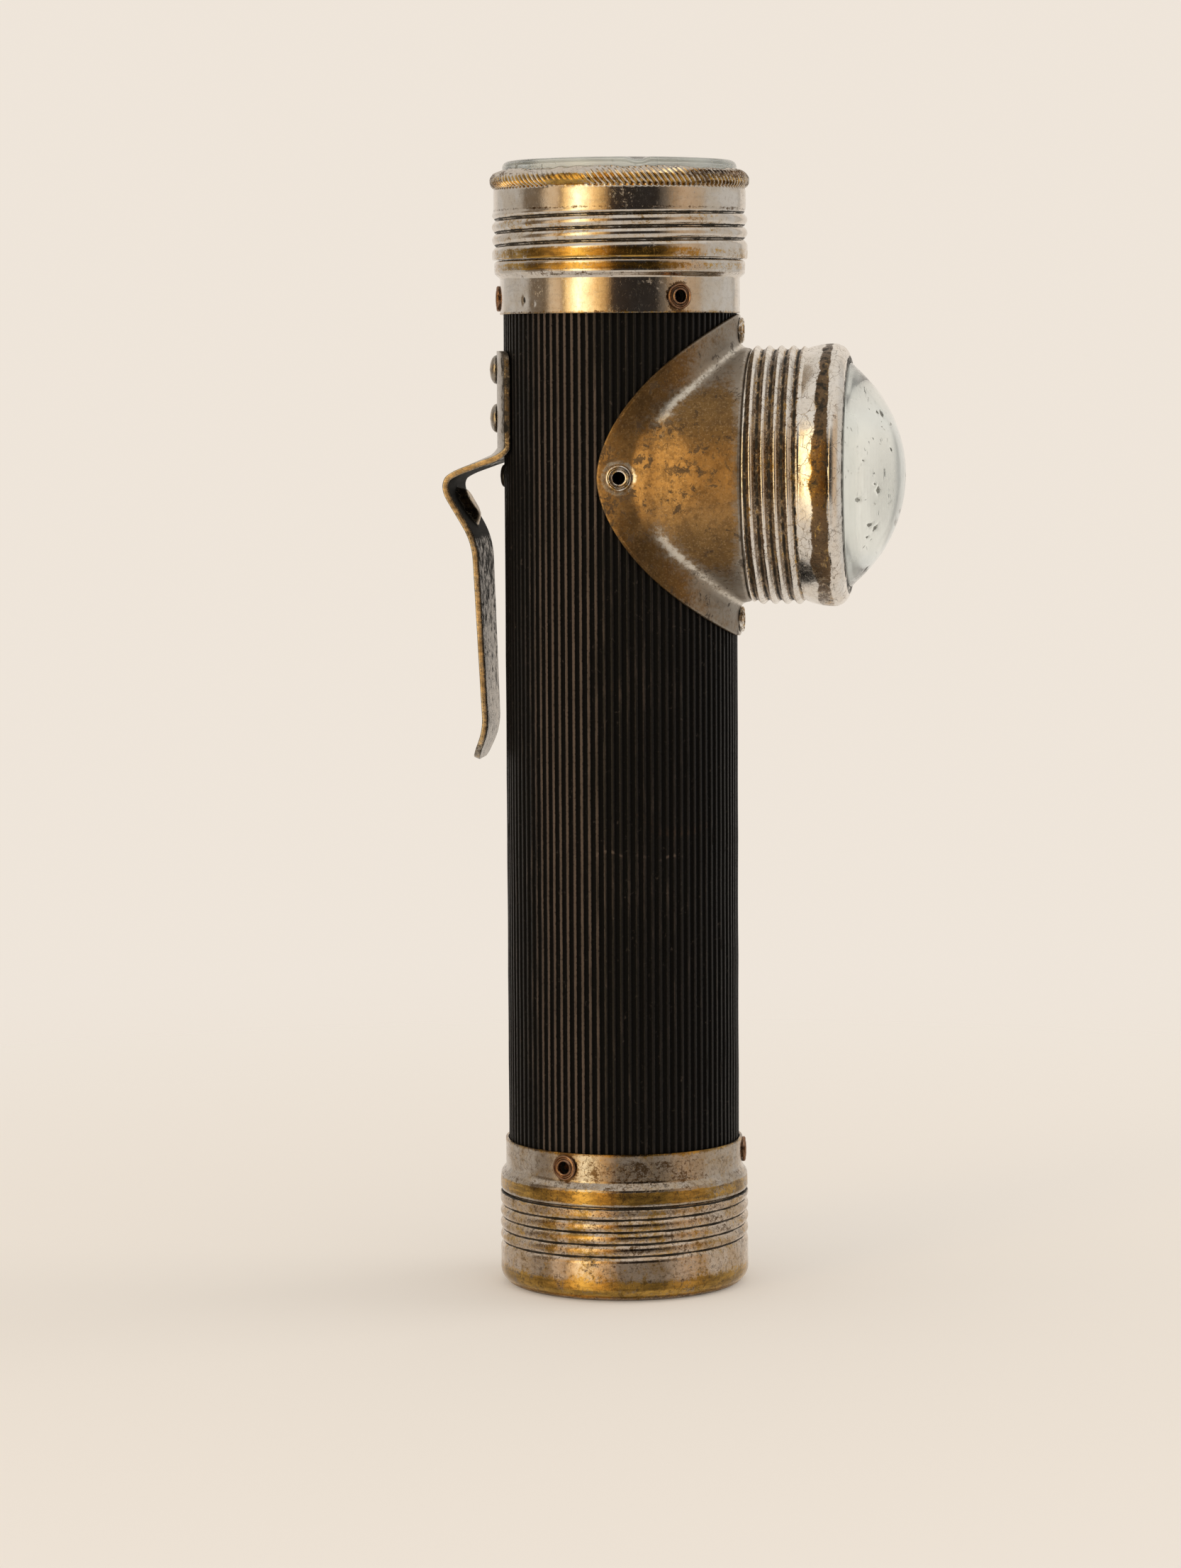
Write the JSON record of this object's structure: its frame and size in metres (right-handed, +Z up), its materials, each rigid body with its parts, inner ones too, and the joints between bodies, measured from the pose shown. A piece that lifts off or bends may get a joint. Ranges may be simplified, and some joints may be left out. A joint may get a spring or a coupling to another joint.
{
  "type": "flashlight",
  "caption": "Antique tubular flashlight: ribbed black fibre tube on a screw cap, flat lens at the end, bull's-eye lens on a brass side head, belt clip at the back.",
  "frame": {"origin": "centre of the bottom cap's flat base, on the tube's axis", "axes": "+Z runs up the tube to the end lens, +X points out of the side lens, the belt clip is on the -X side and the switch near +Y"},
  "size_m": [0.0746, 0.044, 0.1842],
  "materials": {
    "fibre_black": "vulcanised fibre with pressed ribs, rubbed brownish on the crests",
    "nickel_plate": "old nickel plate, fine scratches",
    "nickel_worn": "nickel plate worn through to brass in patches",
    "saddle_brass": "brown tarnished brass with silvery rests of nickel along its creases",
    "cap_brass": "mottled brass and nickel",
    "eyelet_copper": "dark coppery tarnish",
    "spring_steel": "plated spring steel, brassy at its edges",
    "rivet_black": "black lacquer",
    "lens_glass": "thick clear glass, faintly green, small chips",
    "bulb_glass": "thin clear glass",
    "reflector_silver": "silvered metal",
    "contact_brass": "plain brass",
    "fibre_red": "red-brown insulating fibre",
    "cell_carton": "plain waxed carton"
  },
  "bodies": {
    "torch": {"body_tube": "fibre_black", "top_ferrule": "nickel_plate", "top_ferrule_eyelets": "eyelet_copper", "bottom_ferrule": "nickel_worn", "bottom_ferrule_eyelets": "eyelet_copper", "top_reflector": "reflector_silver", "top_bulb_glass": "bulb_glass", "top_bulb_base": "contact_brass", "side_saddle": "saddle_brass", "saddle_eyelets": "nickel_worn", "side_reflector": "reflector_silver", "side_bulb_glass": "bulb_glass", "side_bulb_base": "contact_brass", "lamp_block": "fibre_red", "block_rivet": "rivet_black", "centre_contact": "contact_brass", "side_contact": "contact_brass", "clip_plate": "spring_steel", "clip_rivets": "spring_steel", "switch_plate": "nickel_plate", "switch_eyelets": "nickel_worn", "feed_strip": "contact_brass", "end_lamp_strip": "contact_brass", "side_lamp_strip": "contact_brass", "upper_cell": "cell_carton", "upper_cell_cap": "contact_brass", "lower_cell": "cell_carton", "lower_cell_cap": "contact_brass", "bottom_spring": "spring_steel"},
    "end_glass": {"top_lens": "lens_glass"},
    "end_ring": {"top_bezel": "nickel_plate"},
    "side_glass": {"side_lens": "lens_glass"},
    "side_ring": {"side_bezel": "nickel_worn"},
    "cap_seat": {"spring_seat": "contact_brass"},
    "cap": {"bottom_cap": "cap_brass"},
    "clip": {"clip_leg": "spring_steel"},
    "switch": {"switch_thumb": "nickel_plate", "switch_shoe": "contact_brass"}
  },
  "joints": [
    {"name": "end_lift", "type": "slide", "parent": "torch", "child": "end_glass", "axis": [0, 0, 1], "range_m": [0, 0.0063]},
    {"name": "end_turn", "type": "hinge", "parent": "end_glass", "child": "end_ring", "pos_m": [0, 0, 0.173], "axis": [0, 0, 1], "range_deg": [0, 1080]},
    {"name": "side_lift", "type": "slide", "parent": "torch", "child": "side_glass", "axis": [1, 0, 0], "range_m": [0, 0.00784]},
    {"name": "side_turn", "type": "hinge", "parent": "side_glass", "child": "side_ring", "pos_m": [0.03, 0, 0.13293], "axis": [1, 0, 0], "range_deg": [0, 1440]},
    {"name": "cap_lift", "type": "slide", "parent": "torch", "child": "cap_seat", "axis": [0, 0, -1], "range_m": [0, 0.008], "deforming": ["bottom_spring"]},
    {"name": "cap_turn", "type": "hinge", "parent": "cap_seat", "child": "cap", "pos_m": [0, 0, 0.008], "axis": [0, 0, -1], "range_deg": [0, 1440]},
    {"name": "clip_flex", "type": "hinge", "parent": "torch", "child": "clip", "pos_m": [-0.01962, 0, 0.13753], "axis": [0, 1, 0], "range_deg": [0, 6], "stiffness_Nm_per_rad": 1.5},
    {"name": "switch_slide", "type": "slide", "parent": "torch", "child": "switch", "axis": [0, 0, 1], "range_m": [-0.005, 0.005]}
  ],
  "couplings": [
    {"joint": "end_lift", "follows": "end_turn", "m_per_rad": 0.00033422},
    {"joint": "side_lift", "follows": "side_turn", "m_per_rad": 0.00031194},
    {"joint": "cap_lift", "follows": "cap_turn", "m_per_rad": 0.0003183}
  ]
}
